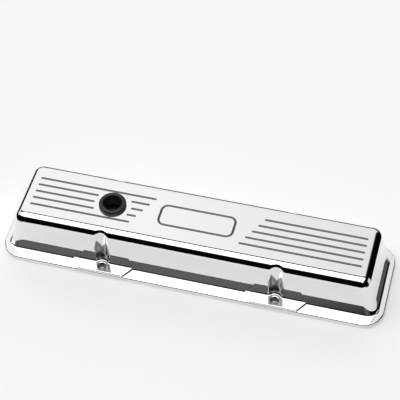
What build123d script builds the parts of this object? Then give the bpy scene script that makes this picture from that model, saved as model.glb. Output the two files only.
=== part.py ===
"""Polished cast valve cover for a V8 engine, the short pattern with four hold-down bolts on its rail.

A flat gasket rail carries one hollow casting. Its long walls stand almost upright, its ends lean in,
and a large round runs along every top edge and upright corner. Beside each hold-down bolt the wall
steps back in an upright recess, so that a socket reaches the raised pad on the rail.
The flat top carries ball-milled grooves and a breather hole with a push-in rubber grommet.
Under the breather hole a folded steel oil baffle is screwed to four cast posts.

Millimetres. The origin is the middle of the gasket face, +Z is up and +X runs along the cover,
away from the breather hole.
"""

from build123d import *
import math
import os

# Rail
rail_length = 478.0
rail_width = 124.0
rail_thickness = 5.5
rail_corner_radius = 26.0
rail_edge_round = 1.2
side_ledge = 14.4  # rail left bare beside a long wall
end_ledge = 7.2  # rail left bare beside an end wall

# Shell
cover_height = 64.0
side_draft = 2.0  # degrees that a long wall leans in
end_draft = 13.5  # degrees that an end wall leans in
wall = 4.0
roof = 4.5
top_round = 11.1
corner_radius = 12.5
foot_round = 1.8
inside_round = 2.0

# Hold-down bolts, with their recesses and pads
bolt_spacing = 217.0
bolt_from_edge = 9.8
bolt_hole_radius = 4.2
bolt_hole_round = 1.8
recess_radius = 9.0
recess_draft = 0.8
recess_edge_round = 6.0
pad_height = 3.0
pad_length_outside = 57.0
pad_length_inside = 76.5
pad_end_slope = 8.0  # degrees that a pad's ends lean in
pad_end_round = 1.2  # along the top of a pad's ends

# Ball-milled grooves in the top
ball_radius = 1.7
groove_depth = 0.8
groove_rows = 5
groove_pitch = 10.45
groove_end_margin = 5.0  # from the end of the flat to the end of a groove
groove_gap = 138.6  # between the two sets of grooves, along the middle row
groove_slant = 0.54  # shift along X of a groove's inner end for each millimetre of Y
panel_length = 92.0
panel_width = 30.0
panel_corner_radius = 8.0

# Breather hole and its grommet
breather_x = -106.3
breather_hole_radius = 15.0
groove_stop_radius = 24.5  # grooves stop on this circle round the breather hole
grommet_bore_radius = 9.5
grommet_bore_length = 8.0
grommet_mouth_radius = 11.8
grommet_cap_radius = 16.8
grommet_cap_height = 4.8
grommet_cap_round = 2.3
grommet_mouth_round = 1.2
grommet_lip_radius = 16.6
grommet_lip_height = 5.0
grommet_lip_edge = 1.5
grommet_tail_wall = 2.4
grommet_clearance = 0.05

# Oil baffle and its posts
post_height = 17.0
post_radius = 5.0
post_foot_round = 1.5
post_spacing_x = 72.0
post_from_baffle_side = 10.2  # from a post's axis to the long side of the baffle
sheet = 1.5
baffle_margin = 8.0  # from a post's axis to the end of the baffle
baffle_gap = 4.0  # between the baffle's side and the wall round a recess
baffle_lip_height = 7.0
bend_radius = 1.5
drain_slot_length = 24.0
drain_slot_width = 5.0

# Baffle screws
screw_radius = 2.5
screw_reach = 10.0
screw_pilot_extra = 2.0  # how far the pilot hole runs past the screw's tip
screw_clearance = 0.05
screw_hole_clearance = 0.3
screw_head_width = 8.0
screw_head_height = 3.0
screw_flange_radius = 5.2
screw_flange_height = 1.0

level_tolerance = 0.01  # for telling which edges lie at a level

# Sizes and places that follow from those above
side_lean = math.tan(math.radians(side_draft))
end_lean = math.tan(math.radians(end_draft))
body_length = rail_length - 2 * end_ledge + 2 * rail_thickness * end_lean
body_width = rail_width - 2 * side_ledge + 2 * rail_thickness * side_lean
end_wall_across = wall / math.cos(math.radians(end_draft))
side_wall_across = wall / math.cos(math.radians(side_draft))
flat_end = (
    body_length / 2 - cover_height * end_lean - top_round * math.tan(math.radians((90 - end_draft) / 2))
)
bolt_y = rail_width / 2 - bolt_from_edge
bolt_places = [(x, y) for x in (-bolt_spacing / 2, bolt_spacing / 2) for y in (-bolt_y, bolt_y)]
pad_top = rail_thickness + pad_height
ceiling = cover_height - roof
baffle_top = ceiling - post_height
baffle_length = post_spacing_x + 2 * baffle_margin
recess_growth = math.tan(math.radians(recess_draft))
bulge_radius = recess_radius + wall
baffle_width = 2 * (bolt_y - bulge_radius - ceiling * recess_growth - baffle_gap)
post_spacing_y = baffle_width - 2 * post_from_baffle_side


def leaning_block(length, width, height, corner, top_edge):
    """A solid block on the gasket face with leaning walls, round upright corners and top edges."""
    with BuildPart() as block:
        with BuildSketch(Plane.XZ):
            Trapezoid(length, height, 90 - end_draft, align=(Align.CENTER, Align.MIN))
        extrude(amount=width, both=True)
        with BuildSketch(Plane.YZ):
            Trapezoid(width, height, 90 - side_draft, align=(Align.CENTER, Align.MIN))
        extrude(amount=length, both=True, mode=Mode.INTERSECT)
        corners = block.edges().filter_by(lambda edge: edge.bounding_box().size.Z > height / 2)
        fillet(corners, corner)
        fillet(block.faces().sort_by(Axis.Z)[-1].edges(), top_edge)
    return block.part


def groove_runs():
    """The start, end and row of every straight groove: those beside the breather hole stop short of it."""
    runs = []
    outer_end = flat_end - groove_end_margin
    for row in range(groove_rows):
        y = (row - (groove_rows - 1) / 2) * groove_pitch
        left_end = -groove_gap / 2 + groove_slant * y
        right_start = groove_gap / 2 + groove_slant * y
        runs.append((right_start, outer_end, y))
        if abs(y) < breather_hole_radius:
            reach = math.sqrt(groove_stop_radius**2 - y**2)
            runs.append((-outer_end, breather_x - reach, y))
            runs.append((breather_x + reach, left_end, y))
        else:
            runs.append((-outer_end, left_end, y))
    return runs


# The block that the casting is made from, with the four recesses beside the bolts
with BuildPart() as shell:
    add(leaning_block(body_length, body_width, cover_height, corner_radius, top_round))
    with BuildSketch():
        with Locations(*bolt_places):
            Circle(recess_radius)
    extrude(amount=cover_height, taper=-recess_draft, mode=Mode.SUBTRACT)
    recess_edges = shell.edges(Select.LAST).filter_by(lambda edge: edge.bounding_box().max.Z > pad_top)
    fillet(recess_edges, recess_edge_round)

# The hollow inside it, which leaves the wall round each recess
with BuildPart() as hollow:
    add(
        leaning_block(
            body_length - 2 * end_wall_across,
            body_width - 2 * side_wall_across,
            ceiling,
            corner_radius - wall,
            top_round - wall,
        )
    )
    with BuildSketch():
        with Locations(*bolt_places):
            Circle(bulge_radius)
    extrude(amount=cover_height, taper=-recess_draft, mode=Mode.SUBTRACT)
    bulge_edges = hollow.edges(Select.LAST).filter_by(lambda edge: edge.bounding_box().max.Z > pad_top)
    fillet(bulge_edges, inside_round)

# One pad, widest at the wall, with sloping ends and its outer side flush with the rail
with BuildPart() as pad:
    pad_inner_y = bolt_y - recess_radius - wall / 2
    pad_widening = (pad_length_inside - pad_length_outside) / side_ledge
    slope_run = pad_height * math.tan(math.radians(pad_end_slope))
    for level, spread in ((rail_thickness, slope_run), (pad_top, 0)):
        with BuildSketch(Plane.XY.offset(level)):
            near = pad_length_outside / 2 + spread
            far = near + pad_widening / 2 * (rail_width / 2 - pad_inner_y)
            with BuildLine():
                Polyline(
                    (-near, -rail_width / 2),
                    (near, -rail_width / 2),
                    (far, -pad_inner_y),
                    (-far, -pad_inner_y),
                    close=True,
                )
            make_face()
    loft(ruled=True)
    top_edges = pad.edges().group_by(Axis.Z)[-1]
    fillet(top_edges.filter_by(lambda edge: edge.bounding_box().size.Y > side_ledge / 2), pad_end_round)

# The ball-end mill's path through the top
with BuildPart() as milling:
    ball_level = cover_height + ball_radius - groove_depth
    for start, end, y in groove_runs():
        with Locations((start, y, ball_level), (end, y, ball_level)):
            Sphere(ball_radius)
        with Locations(((start + end) / 2, y, ball_level)):
            Cylinder(ball_radius, end - start, rotation=(0, 90, 0))
    with BuildLine(Plane.XY.offset(ball_level)) as panel:
        x, y = panel_length / 2, panel_width / 2
        FilletPolyline((-x, -y), (x, -y), (x, y), (-x, y), radius=panel_corner_radius, close=True)
    with BuildSketch(panel.line ^ 0):
        Circle(ball_radius)
    sweep()

# The casting
with BuildPart() as cover:
    with BuildSketch():
        RectangleRounded(rail_length, rail_width, rail_corner_radius)
    extrude(amount=rail_thickness)
    for x in (-bolt_spacing / 2, bolt_spacing / 2):
        with Locations(Location((x, 0, 0)), Location((x, 0, 0), (0, 0, 180))):
            add(pad.part)
    straight_x = rail_length / 2 - rail_corner_radius
    straight_y = rail_width / 2 - rail_corner_radius

    def on_rim(edge):
        middle = edge.position_at(0.5)
        past = (max(abs(middle.X) - straight_x, 0), max(abs(middle.Y) - straight_y, 0))
        at_edge = math.isclose(math.hypot(*past), rail_corner_radius, abs_tol=level_tolerance)
        return at_edge and edge.bounding_box().min.Z > rail_thickness / 2

    fillet(cover.edges().filter_by(on_rim), rail_edge_round)
    add(shell.part)

    def at_wall_foot(edge):
        middle = edge.position_at(0.5)
        box = edge.bounding_box()
        inside = (
            abs(middle.X) < rail_length / 2 - end_ledge + rail_edge_round
            and abs(middle.Y) < rail_width / 2 - side_ledge + rail_edge_round
        )
        return inside and box.min.Z > rail_thickness - level_tolerance and box.max.Z < pad_top + level_tolerance

    fillet(cover.edges().filter_by(at_wall_foot), foot_round)
    add(hollow.part, mode=Mode.SUBTRACT)
    add(milling.part, mode=Mode.SUBTRACT)

    # Breather hole
    with BuildSketch(Plane.XY.offset(ceiling)):
        with Locations((breather_x, 0)):
            Circle(breather_hole_radius)
    extrude(amount=roof, mode=Mode.SUBTRACT)

    # Bolt holes, each with a well rounded edge
    with BuildSketch():
        with Locations(*bolt_places):
            Circle(bolt_hole_radius)
    extrude(amount=pad_top, mode=Mode.SUBTRACT)
    hole_rims = cover.edges(Select.LAST).filter_by(GeomType.CIRCLE).group_by(Axis.Z)[-1]
    fillet(hole_rims, bolt_hole_round)

    # Posts for the oil baffle
    with BuildSketch(Plane.XY.offset(ceiling)):
        with Locations((breather_x, 0)):
            with GridLocations(post_spacing_x, post_spacing_y, 2, 2):
                Circle(post_radius)
    extrude(amount=-post_height)
    post_feet = cover.edges(Select.LAST).filter_by(GeomType.CIRCLE).group_by(Axis.Z)[-1]
    fillet(post_feet, post_foot_round)
    with BuildSketch(Plane.XY.offset(baffle_top)):
        with Locations((breather_x, 0)):
            with GridLocations(post_spacing_x, post_spacing_y, 2, 2):
                Circle(screw_radius + screw_clearance)
    extrude(amount=screw_reach + screw_pilot_extra, mode=Mode.SUBTRACT)

# The rubber grommet: its neck fills the breather hole between a cap above and a lip below
with BuildPart() as breather_grommet:
    mouth_level = cover_height + grommet_cap_height
    cap_seat = cover_height + grommet_clearance
    lip_seat = ceiling - grommet_clearance
    neck_radius = breather_hole_radius - grommet_clearance
    tail_level = ceiling - grommet_lip_height
    with BuildSketch(Plane.XZ.move(Location((breather_x, 0, 0)))):
        with BuildLine():
            Polyline(
                (grommet_bore_radius, tail_level),
                (grommet_bore_radius + grommet_tail_wall, tail_level),
                (grommet_lip_radius, lip_seat - grommet_lip_edge),
                (grommet_lip_radius, lip_seat),
                (neck_radius, lip_seat),
                (neck_radius, cap_seat),
                (grommet_cap_radius, cap_seat),
                (grommet_cap_radius, mouth_level),
                (grommet_mouth_radius, mouth_level),
                (grommet_bore_radius, tail_level + grommet_bore_length),
                close=True,
            )
        make_face()
    revolve(axis=Axis((breather_x, 0, 0), (0, 0, 1)))
    mouth_rims = breather_grommet.faces().sort_by(Axis.Z)[-1].edges().sort_by(SortBy.RADIUS)
    fillet(mouth_rims[-1], grommet_cap_round)
    mouth_rims = breather_grommet.faces().sort_by(Axis.Z)[-1].edges().sort_by(SortBy.RADIUS)
    fillet(mouth_rims[0], grommet_mouth_round)

# The oil baffle: one folded sheet against the posts' ends, with a lip turned up along each side
with BuildPart() as oil_baffle:
    with BuildSketch(Plane.YZ.offset(breather_x - baffle_length / 2)) as fold:
        with Locations((0, baffle_top - sheet)):
            Rectangle(baffle_width, baffle_lip_height, align=(Align.CENTER, Align.MIN))
        fillet(fold.vertices().group_by(Axis.Y)[0], bend_radius + sheet)
        with Locations((0, baffle_top)):
            Rectangle(
                baffle_width - 2 * sheet,
                baffle_lip_height,
                align=(Align.CENTER, Align.MIN),
                mode=Mode.SUBTRACT,
            )
        fillet(fold.vertices().group_by(Axis.Y)[1], bend_radius)
    extrude(amount=baffle_length)
    with BuildSketch(Plane.XY.offset(baffle_top - sheet)):
        with Locations((breather_x, 0)):
            with GridLocations(post_spacing_x, post_spacing_y, 2, 2):
                Circle(screw_radius + screw_hole_clearance)
            with GridLocations(post_spacing_x, 0, 2, 1):
                SlotOverall(drain_slot_length, drain_slot_width, rotation=90)
    extrude(amount=sheet, mode=Mode.SUBTRACT)

# The four hex flange screws that hold the baffle to its posts
with BuildPart() as baffle_screws:
    under_head = baffle_top - sheet
    with BuildSketch(Plane.XY.offset(under_head)):
        with Locations((breather_x, 0)):
            with GridLocations(post_spacing_x, post_spacing_y, 2, 2):
                Circle(screw_radius)
    extrude(amount=sheet + screw_reach)
    with BuildSketch(Plane.XY.offset(under_head)):
        with Locations((breather_x, 0)):
            with GridLocations(post_spacing_x, post_spacing_y, 2, 2):
                Circle(screw_flange_radius)
    extrude(amount=-screw_flange_height)
    with BuildSketch(Plane.XY.offset(under_head - screw_flange_height)):
        with Locations((breather_x, 0)):
            with GridLocations(post_spacing_x, post_spacing_y, 2, 2):
                RegularPolygon(screw_head_width / 2, 6, major_radius=False)
    extrude(amount=-screw_head_height)

cover.part.label = "cover"
breather_grommet.part.label = "breather_grommet"
oil_baffle.part.label = "oil_baffle"
baffle_screws.part.label = "baffle_screws"

os.makedirs("parts", exist_ok=True)
export_step(cover.part, "parts/cover.step")
export_step(breather_grommet.part, "parts/breather_grommet.step")
export_step(oil_baffle.part, "parts/oil_baffle.step")
export_step(baffle_screws.part, "parts/baffle_screws.step")
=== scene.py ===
import bpy
import math
from mathutils import Matrix, Vector


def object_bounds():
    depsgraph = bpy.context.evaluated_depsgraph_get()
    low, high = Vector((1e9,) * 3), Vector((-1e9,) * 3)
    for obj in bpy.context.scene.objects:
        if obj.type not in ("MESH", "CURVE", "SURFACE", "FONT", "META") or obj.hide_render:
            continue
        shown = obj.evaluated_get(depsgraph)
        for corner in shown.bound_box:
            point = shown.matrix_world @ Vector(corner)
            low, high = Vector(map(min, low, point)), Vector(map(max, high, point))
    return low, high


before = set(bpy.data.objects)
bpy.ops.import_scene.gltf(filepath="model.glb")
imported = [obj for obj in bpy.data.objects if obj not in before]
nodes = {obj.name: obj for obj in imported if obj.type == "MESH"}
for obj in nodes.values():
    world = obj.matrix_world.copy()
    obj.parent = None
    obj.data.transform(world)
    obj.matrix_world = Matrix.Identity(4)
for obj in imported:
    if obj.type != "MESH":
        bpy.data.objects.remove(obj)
cadLow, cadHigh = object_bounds()
print("loaded the frame:", ", ".join(sorted(nodes)))


def linear(hexColour):  # sRGB hex to the linear colour that shaders take
    parts = [int(hexColour[i : i + 2], 16) / 255 for i in (1, 3, 5)]
    return [c / 12.92 if c <= 0.04045 else ((c + 0.055) / 1.055) ** 2.4 for c in parts] + [1.0]


# An input is a value, a socket, or a node that stands for its first output
def addNode(tree, kind, inputs=None, **settings):
    node = tree.nodes.new(kind)
    for name, value in settings.items():
        setattr(node, name, value)
    for key, value in (inputs or {}).items():
        if isinstance(value, bpy.types.Node):
            value = value.outputs[0]
        if isinstance(value, bpy.types.NodeSocket):
            tree.links.new(value, node.inputs[key])
        else:
            node.inputs[key].default_value = value
    return node


def startMaterial(name):
    mat = bpy.data.materials.new(name)
    mat.use_nodes = True
    mat.node_tree.nodes.clear()
    return mat, mat.node_tree


# A value that is `inside` from low to high and 0 beyond, with edges that spread over `soft` to either side
def band(tree, value, low, high, soft, inside=1.0):
    rise = addNode(
        tree,
        "ShaderNodeMapRange",
        {"Value": value, "From Min": low - soft, "From Max": low + soft, "To Min": 0.0, "To Max": inside},
    )
    return addNode(
        tree,
        "ShaderNodeMapRange",
        {"Value": value, "From Min": high - soft, "From Max": high + soft, "To Min": rise, "To Max": 0.0},
    )


# Camera: long lens from the front right, looking down about fifty degrees
view = {
    "focalPixels": 1442.47,  # at 400 pixels across
    "imagePixels": 400,
    "sensor": 36.0,
    "yaw": -16.5095,  # degrees, from looking straight along +Y
    "pitch": 50.1651,
    "roll": -2.2124,
    "place": (0.315379, -1.047744, 1.414675),
    "clip": (0.1, 30.0),
}


def makeCamera(v):
    yaw, pitch, roll = (math.radians(v[k]) for k in ("yaw", "pitch", "roll"))
    ahead = Vector((math.sin(yaw) * math.cos(pitch), math.cos(yaw) * math.cos(pitch), -math.sin(pitch)))
    level = Vector((math.cos(yaw), -math.sin(yaw), 0))
    steep = level.cross(ahead)
    right = level * math.cos(roll) + steep * math.sin(roll)
    up = steep * math.cos(roll) - level * math.sin(roll)
    data = bpy.data.cameras.new("photoCamera")
    data.sensor_width = v["sensor"]
    data.lens = v["focalPixels"] / v["imagePixels"] * v["sensor"]
    data.clip_start, data.clip_end = v["clip"]
    cam = bpy.data.objects.new("photoCamera", data)
    bpy.context.scene.collection.objects.link(cam)
    axes = Matrix((right, up, -ahead)).transposed().to_4x4()
    cam.matrix_world = Matrix.Translation(Vector(v["place"])) @ axes
    bpy.context.scene.camera = cam


makeCamera(view)
print("camera placed")

# Studio: a softbox overhead, a white wall behind and to the left, a card low on the right,
# and a dark room in front, which polished metal needs for its black bands
studio = {
    "room": "#050506",
    "softboxLight": 2.75,
    "softboxLeft": -1.65,  # its edges on a level plane one metre up
    "softboxRight": 0.62,
    "softboxBack": 0.40,
    "softboxFront": -0.76,
    "softboxSkew": 0.27,  # how much its front edge comes forward for each metre to the right
    "softboxBlur": 0.05,
    "farOff": 9.0,  # past where anything on that plane is seen
    "lowestRay": 0.001,  # below this height of a ray, the plane counts as out of reach
    "barLight": 0.18,  # a dim bar that hangs in front of it
    "barBack": -0.85,
    "barFront": -0.97,
    "barBlur": 0.0167,
    "hungBlur": 0.025,  # at the softbox's back edge
    "wallLight": 1.35,
    "wallTop": 56.5,  # degrees of elevation
    "wallTopLeft": 26.0,
    "wallFoot": 13.0,
    "wallTurn": (-60.0, -36.0),  # where its top comes down, in degrees round from +Y
    "wallLeft": -97.0,
    "wallRight": 29.5,
    "returnLight": 0.13,  # the wall's dim return on the right
    "returnRight": 37.0,
    "wallDim": (-19.0, -4.0, 0.84),  # it dims from the first bearing to the second, down to this share
    "cardLight": 1.0,
    "cardLeft": 57.0,
    "cardRight": 90.0,
    "cardTop": 21.0,
    "sideBlur": 2.0,  # degrees, at upright edges and at the wall's foot
    "wallTopBlur": 0.7,
    "cardTopBlur": 1.0,
}


def makeWorld(s):
    world = bpy.data.worlds.new("studio")
    world.use_nodes = True
    bpy.context.scene.world = world
    tree = world.node_tree
    tree.nodes.clear()
    coord = addNode(tree, "ShaderNodeTexCoord")
    xyz = addNode(tree, "ShaderNodeSeparateXYZ", {0: coord.outputs["Generated"]})
    x, y, z = xyz.outputs
    bearing = addNode(tree, "ShaderNodeMath", {0: x, 1: y}, operation="ARCTAN2")
    bearing = addNode(tree, "ShaderNodeMath", {0: bearing}, operation="DEGREES")
    elevation = addNode(tree, "ShaderNodeMath", {0: z}, operation="ARCSINE")
    elevation = addNode(tree, "ShaderNodeMath", {0: elevation}, operation="DEGREES")

    # The softbox, laid out on a plane one metre up
    height = addNode(tree, "ShaderNodeMath", {0: z, 1: s["lowestRay"]}, operation="MAXIMUM")
    planX = addNode(tree, "ShaderNodeMath", {0: x, 1: height}, operation="DIVIDE")
    planY = addNode(tree, "ShaderNodeMath", {0: y, 1: height}, operation="DIVIDE")
    skewed = addNode(
        tree,
        "ShaderNodeMath",
        {0: planX, 1: s["softboxSkew"], 2: planY},
        operation="MULTIPLY_ADD",
    )
    blur, farOff = s["softboxBlur"], s["farOff"]
    box = band(tree, skewed, s["softboxFront"], farOff, blur, s["softboxLight"])
    bar = band(tree, skewed, s["barFront"], s["barBack"], s["barBlur"], s["barLight"])
    hung = addNode(tree, "ShaderNodeMath", {0: box, 1: bar}, operation="ADD")
    hung = band(tree, planX, s["softboxLeft"], s["softboxRight"], blur, hung.outputs[0])
    hung = band(tree, planY, -farOff, s["softboxBack"], s["hungBlur"], hung.outputs[0])

    # The wall, whose top comes down on the left
    top = addNode(
        tree,
        "ShaderNodeMapRange",
        {
            "Value": bearing,
            "From Min": s["wallTurn"][0],
            "From Max": s["wallTurn"][1],
            "To Min": s["wallTopLeft"],
            "To Max": s["wallTop"],
        },
        interpolation_type="SMOOTHSTEP",
    )
    dim = addNode(
        tree,
        "ShaderNodeMapRange",
        {
            "Value": bearing,
            "From Min": s["wallDim"][0],
            "From Max": s["wallDim"][1],
            "To Min": s["wallLight"],
            "To Max": s["wallLight"] * s["wallDim"][2],
        },
    )
    below = addNode(tree, "ShaderNodeMath", {0: top, 1: elevation}, operation="SUBTRACT")
    blur = s["sideBlur"]
    back = band(tree, bearing, s["wallLeft"], s["wallRight"], blur, dim.outputs[0])
    side = band(tree, bearing, s["wallRight"], s["returnRight"], blur, s["returnLight"])
    wall = addNode(tree, "ShaderNodeMath", {0: back, 1: side}, operation="ADD")
    wall = band(tree, below, 0.0, 180.0, s["wallTopBlur"], wall.outputs[0])
    wall = band(tree, elevation, s["wallFoot"], 90.0, blur, wall.outputs[0])

    # The card, and everything lit put together over the dark room
    card = band(tree, bearing, s["cardLeft"], s["cardRight"], blur, s["cardLight"])
    card = band(tree, elevation, -90.0, s["cardTop"], s["cardTopBlur"], card.outputs[0])
    lit = addNode(tree, "ShaderNodeMath", {0: hung, 1: wall}, operation="ADD")
    lit = addNode(tree, "ShaderNodeMath", {0: lit, 1: card}, operation="ADD")
    light = addNode(tree, "ShaderNodeBackground", {"Strength": lit})
    dark = addNode(tree, "ShaderNodeBackground", {"Color": linear(s["room"])})
    both = addNode(tree, "ShaderNodeAddShader", {0: dark, 1: light})
    addNode(tree, "ShaderNodeOutputWorld", {"Surface": both})


# Floor: a plain pale table top that the cover stands on
tableTop = {
    "colour": "#FAFAFA",
    "turn": 13.9,  # degrees
    "front": -0.224,  # its edges, in its own turned axes
    "right": 0.292,
    "left": -0.312,
    "back": 0.475,
    "gap": 0.0002,  # between it and the gasket face
}


def makeFloor(s):
    bpy.ops.mesh.primitive_plane_add(size=1)
    floor = bpy.context.object
    floor.name = "floor"
    turned = Matrix.Rotation(math.radians(s["turn"]), 4, "Z")
    middle = Vector(((s["left"] + s["right"]) / 2, (s["front"] + s["back"]) / 2, cadLow.z - s["gap"]))
    floor.matrix_world = turned @ Matrix.Translation(middle)
    floor.scale = (s["right"] - s["left"], s["back"] - s["front"], 1)
    # Matt laminate on a board: evenly pale and without gloss, so it takes a soft shadow
    mat, tree = startMaterial("matt white laminate")
    shader = addNode(tree, "ShaderNodeBsdfDiffuse", {"Color": linear(s["colour"])})
    addNode(tree, "ShaderNodeOutputMaterial", {"Surface": shader})
    floor.data.materials.append(mat)


makeWorld(studio)
makeFloor(tableTop)
print("studio lit")

# Cover: cast aluminium, polished outside, milled in the grooves and left as cast inside
casting = {
    "metal": "#EBEBEA",  # buffed aluminium, nearly white
    "recessShade": "#757476",  # painted shade, low in the recesses
    # painted shade: the darker colour of the satin grooves and the bolt holes, in place of the dark that
    # they reflect
    "groove": "#646162",
    "edge": "#3A393A",  # painted shadow on the rounded edge of the rail, a dark outline at the contact
    "asCast": "#9C9D9F",
    "polishedRoughness": (0.021, 0.049),  # it clouds from one to the other
    "haze": 0.03,  # metres from cloud to cloud
    "grooveRoughness": 0.32,
    "castRoughness": 0.55,
    "paintedShadeRoughness": 0.2,
    "faceRoughness": 0.28,
    "ripple": 0.045,  # metres from one soft ripple of the buffing to the next
    "rippleHeight": 0.00001,
    "grain": 0.0011,  # the sand's grain inside
    "grainHeight": 0.00012,
    "cutterPitch": 0.0009,  # the cutter's marks on the gasket face
    "cutterDepth": 0.000004,
    "faceLevel": 0.0001,  # the gasket face lies below this level
    "levelBlur": 0.00005,  # how softly one finish passes into the next, by level and by place
    "placeBlur": 0.0001,
    "grooveDeep": (0.0628, 0.06396),  # the levels between which the grooves lie
    "grooveReach": (0.2065, 0.024),  # how far they reach from the middle
    "grooveBlur": (0.00002, 0.0002),
    "midWall": (0.2310, 0.0458, 0.0617),  # mid thickness of the end and side at their foot, and of the roof
    "midCorner": 0.0098,  # round the corners of that surface
    "lean": (0.2400, 0.0349),  # how far the end and the side lean in for each metre up
    "bolt": (0.1085, 0.0522),
    "bore": 0.0045,
    "boreTop": 0.0075,
    "midRecess": 0.0112,  # middle of the wall round a recess, from the bolt's axis
    "recessHalf": 0.0092,  # half the width of the painted shade in a recess
    "recessFoot": 0.0092,
    "recessShadeTop": 0.0345,  # up to this level in the middle, higher aside, and lower again beside the edge
    "recessRise": 1.9,
    "recessShoulder": 0.0757,
    "recessFall": 4.5,
    "recessBlur": (0.0015, 0.002, 0.0008, 0.0002),  # in the middle, at the shoulder, sides and back
    "recessBack": 0.0476,  # from the middle of the cover, where the recess meets the wall
    "railEdge": (0.0043, 0.00525),  # the levels between which the rail's rounded edge lies
    "past": 1.0,  # metres, past anything on the cover
}


def coverMaterial(c):
    # A356 casting: a mirror where it is buffed, satin in the milled grooves, dull and grainy inside;
    # painted shade darkens the grooves, the bolt holes, the recesses and the rail's rounded edge
    mat, tree = startMaterial("cast aluminium, polished outside")
    coord = addNode(tree, "ShaderNodeTexCoord")
    place = coord.outputs["Object"]
    xyz = addNode(tree, "ShaderNodeSeparateXYZ", {0: place})
    z = xyz.outputs[2]
    across = addNode(tree, "ShaderNodeMath", {0: xyz.outputs[0]}, operation="ABSOLUTE")
    along = addNode(tree, "ShaderNodeMath", {0: xyz.outputs[1]}, operation="ABSOLUTE")

    past = c["past"]

    # Where the grooves lie: satin-milled, with painted shade as their darker colour
    levelBlur, placeBlur = c["grooveBlur"]
    groove = band(tree, z, *c["grooveDeep"], levelBlur)
    for distance, reach in zip((across, along), c["grooveReach"]):
        groove = band(tree, distance, -past, reach, placeBlur, groove.outputs[0])

    # What lies inside the middle of the wall, as a leaning box with round corners, and outside the recesses
    endLevel = addNode(tree, "ShaderNodeMath", {0: z, 1: c["lean"][0], 2: across}, operation="MULTIPLY_ADD")
    sideLevel = addNode(tree, "ShaderNodeMath", {0: z, 1: c["lean"][1], 2: along}, operation="MULTIPLY_ADD")
    levels = addNode(tree, "ShaderNodeCombineXYZ", {0: endLevel, 1: sideLevel, 2: z})
    core = [size - c["midCorner"] for size in c["midWall"]]
    beyond = addNode(tree, "ShaderNodeVectorMath", {0: levels, 1: core}, operation="SUBTRACT")
    beyond = addNode(tree, "ShaderNodeVectorMath", {0: beyond, 1: (0, 0, 0)}, operation="MAXIMUM")
    beyond = addNode(tree, "ShaderNodeVectorMath", {0: beyond}, operation="LENGTH")
    fromBolt = addNode(tree, "ShaderNodeCombineXYZ", {0: across, 1: along})
    fromBolt = addNode(
        tree,
        "ShaderNodeVectorMath",
        {0: fromBolt, 1: (*c["bolt"], 0)},
        operation="DISTANCE",
    )
    beyond, fromBolt = beyond.outputs["Value"], fromBolt.outputs["Value"]
    faceLevel, levelBlur, placeBlur = c["faceLevel"], c["levelBlur"], c["placeBlur"]
    within = band(tree, z, faceLevel, past, levelBlur)
    within = band(tree, beyond, -past, c["midCorner"], placeBlur, within.outputs[0])
    within = band(tree, fromBolt, c["midRecess"], past, placeBlur, within.outputs[0])

    # Painted shade, low in the recesses, higher beside the corners than in the middle
    aside = addNode(tree, "ShaderNodeMath", {0: across, 1: c["bolt"][0]}, operation="SUBTRACT")
    aside = addNode(tree, "ShaderNodeMath", {0: aside}, operation="ABSOLUTE")
    dropped = addNode(
        tree,
        "ShaderNodeMath",
        {0: aside, 1: -c["recessRise"], 2: z},
        operation="MULTIPLY_ADD",
    )
    raised = addNode(
        tree,
        "ShaderNodeMath",
        {0: aside, 1: c["recessFall"], 2: z},
        operation="MULTIPLY_ADD",
    )
    middleBlur, shoulderBlur, sideBlur, backBlur = c["recessBlur"]
    recessShade = band(tree, dropped, -past, c["recessShadeTop"], middleBlur)
    recessShade = band(tree, raised, -past, c["recessShoulder"], shoulderBlur, recessShade.outputs[0])
    recessShade = band(tree, z, c["recessFoot"], past, sideBlur, recessShade.outputs[0])
    recessShade = band(tree, aside, -past, c["recessHalf"], sideBlur, recessShade.outputs[0])
    recessShade = band(tree, along, 0.0, c["recessBack"], backBlur, recessShade.outputs[0])

    # The bolt holes, darkened with painted shade, the gasket face, and the rail's rounded edge, which also
    # takes painted shade
    bore = band(tree, z, faceLevel, c["boreTop"], levelBlur)
    bore = band(tree, fromBolt, -past, c["bore"], placeBlur, bore.outputs[0])
    face = band(tree, z, -past, faceLevel, levelBlur)
    edge = band(tree, z, *c["railEdge"], levelBlur)

    # Colour and roughness of each finish, with painted shade as the colour of the recesses, the grooves,
    # the rail's edge and the bolt holes
    haze = addNode(tree, "ShaderNodeTexNoise", {"Vector": place, "Scale": 1 / c["haze"], "Detail": 5.0})
    shine = addNode(
        tree,
        "ShaderNodeMapRange",
        {"Value": haze, "To Min": c["polishedRoughness"][0], "To Max": c["polishedRoughness"][1]},
    )
    colour, rough = linear(c["metal"]), shine.outputs[0]

    # A Mix node takes the share at 0, numbers at 2 and 3, and colours at 6 and 7
    for mask, paint, dull in (
        (recessShade, c["recessShade"], c["paintedShadeRoughness"]),
        (groove, c["groove"], c["grooveRoughness"]),
        (edge, c["edge"], c["paintedShadeRoughness"]),
        (bore, c["groove"], c["grooveRoughness"]),
        (within, c["asCast"], c["castRoughness"]),
        (face, c["metal"], c["faceRoughness"]),
    ):
        rough = addNode(tree, "ShaderNodeMix", {0: mask, 2: rough, 3: dull}).outputs[0]
        both = addNode(tree, "ShaderNodeMix", {0: mask, 6: colour, 7: linear(paint)}, data_type="RGBA")
        colour = both.outputs[2]

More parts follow.
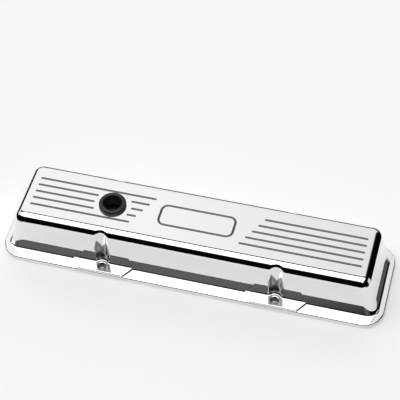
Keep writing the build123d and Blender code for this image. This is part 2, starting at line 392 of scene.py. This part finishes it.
    # Relief: soft ripples from the buffing wheel, sand grain inside, the cutter's rings on the gasket face
    waves = addNode(tree, "ShaderNodeTexNoise", {"Vector": place, "Scale": 1 / c["ripple"], "Detail": 1.0})
    relief = addNode(tree, "ShaderNodeBump", {"Height": waves, "Distance": c["rippleHeight"]})
    sand = addNode(tree, "ShaderNodeTexNoise", {"Vector": place, "Scale": 1 / c["grain"], "Detail": 4.0})
    relief = addNode(
        tree,
        "ShaderNodeBump",
        {"Strength": within, "Height": sand, "Distance": c["grainHeight"], "Normal": relief},
    )
    arcs = addNode(  # at a scale of 1 its rings lie tau / 20 apart
        tree,
        "ShaderNodeTexWave",
        {"Vector": place, "Scale": math.tau / 20 / c["cutterPitch"], "Distortion": 2.0, "Detail": 1.0},
        wave_type="RINGS",
        rings_direction="Z",
    )
    relief = addNode(
        tree,
        "ShaderNodeBump",
        {"Strength": face, "Height": arcs, "Distance": c["cutterDepth"], "Normal": relief},
    )
    shader = addNode(
        tree,
        "ShaderNodeBsdfPrincipled",
        {"Base Color": colour, "Metallic": 1.0, "Roughness": rough, "Normal": relief},
    )
    addNode(tree, "ShaderNodeOutputMaterial", {"Surface": shader})
    return mat


# Grommet: moulded rubber, pushed into the breather hole
rubber = {
    "colour": "#0E0E0E",
    "worn": "#1B1B1A",  # where oil and fingers have dulled it
    "roughness": (0.36, 0.5),
    "patch": 0.009,  # metres from one dulled patch to the next
    "grain": 0.0004,
    "grainHeight": 0.00002,
}


def grommetMaterial(c):
    # Nitrile rubber: near black, with a fine moulded grain that spreads its highlights
    mat, tree = startMaterial("moulded nitrile rubber")
    coord = addNode(tree, "ShaderNodeTexCoord")
    place = coord.outputs["Object"]
    patches = addNode(tree, "ShaderNodeTexNoise", {"Vector": place, "Scale": 1 / c["patch"], "Detail": 3.0})
    colour = addNode(
        tree, "ShaderNodeMix", {0: patches, 6: linear(c["colour"]), 7: linear(c["worn"])}, data_type="RGBA"
    )
    rough = addNode(
        tree,
        "ShaderNodeMapRange",
        {"Value": patches, "To Min": c["roughness"][0], "To Max": c["roughness"][1]},
    )
    grain = addNode(tree, "ShaderNodeTexNoise", {"Vector": place, "Scale": 1 / c["grain"], "Detail": 2.0})
    relief = addNode(tree, "ShaderNodeBump", {"Height": grain, "Distance": c["grainHeight"]})
    shader = addNode(
        tree,
        "ShaderNodeBsdfPrincipled",
        {"Base Color": colour.outputs[2], "Roughness": rough, "Normal": relief},
    )
    addNode(tree, "ShaderNodeOutputMaterial", {"Surface": shader})
    return mat


# Baffle and its screws: zinc plate over sheet steel and over screw steel
baffleZinc = {
    "name": "zinc-plated sheet steel",
    "bright": "#C3C7CB",
    "dull": "#A3A8AE",
    "roughness": (0.24, 0.42),
    "cloud": 0.012,  # metres from one cloud of the plating to the next
    "grain": 0.0012,  # rolling marks along the sheet
    "grainHeight": 0.000006,
    "drawn": 0.1,  # which are ten times as long along X as across it
}

screwZinc = {
    "name": "zinc-plated screw steel",
    "bright": "#B6B6AE",
    "dull": "#8F8F88",
    "roughness": (0.28, 0.46),
    "cloud": 0.004,
    "grain": 0.0005,
    "grainHeight": 0.000008,
    "drawn": 0.1,
}


def zincMaterial(c):
    # Zinc plate: bluish grey metal, clouded by the bath, over the steel's own grain
    mat, tree = startMaterial(c["name"])
    coord = addNode(tree, "ShaderNodeTexCoord")
    place = coord.outputs["Object"]
    clouds = addNode(tree, "ShaderNodeTexNoise", {"Vector": place, "Scale": 1 / c["cloud"], "Detail": 4.0})
    colour = addNode(
        tree, "ShaderNodeMix", {0: clouds, 6: linear(c["bright"]), 7: linear(c["dull"])}, data_type="RGBA"
    )
    rough = addNode(
        tree,
        "ShaderNodeMapRange",
        {"Value": clouds, "To Min": c["roughness"][0], "To Max": c["roughness"][1]},
    )
    drawn = addNode(
        tree,
        "ShaderNodeVectorMath",
        {0: place, 1: (c["drawn"], 1.0, 1.0)},
        operation="MULTIPLY",
    )
    grain = addNode(tree, "ShaderNodeTexNoise", {"Vector": drawn, "Scale": 1 / c["grain"], "Detail": 3.0})
    relief = addNode(tree, "ShaderNodeBump", {"Height": grain, "Distance": c["grainHeight"]})
    shader = addNode(
        tree,
        "ShaderNodeBsdfPrincipled",
        {"Base Color": colour.outputs[2], "Metallic": 1.0, "Roughness": rough, "Normal": relief},
    )
    addNode(tree, "ShaderNodeOutputMaterial", {"Surface": shader})
    return mat


# Each node of the frame takes its material
dress = {
    "cover": coverMaterial(casting),
    "breather_grommet": grommetMaterial(rubber),
    "oil_baffle": zincMaterial(baffleZinc),
    "baffle_screws": zincMaterial(screwZinc),
}
for name, mat in dress.items():
    nodes[name].data.materials.clear()
    nodes[name].data.materials.append(mat)
print("materials made")

# The view
bpy.context.scene.view_settings.view_transform = "Standard"
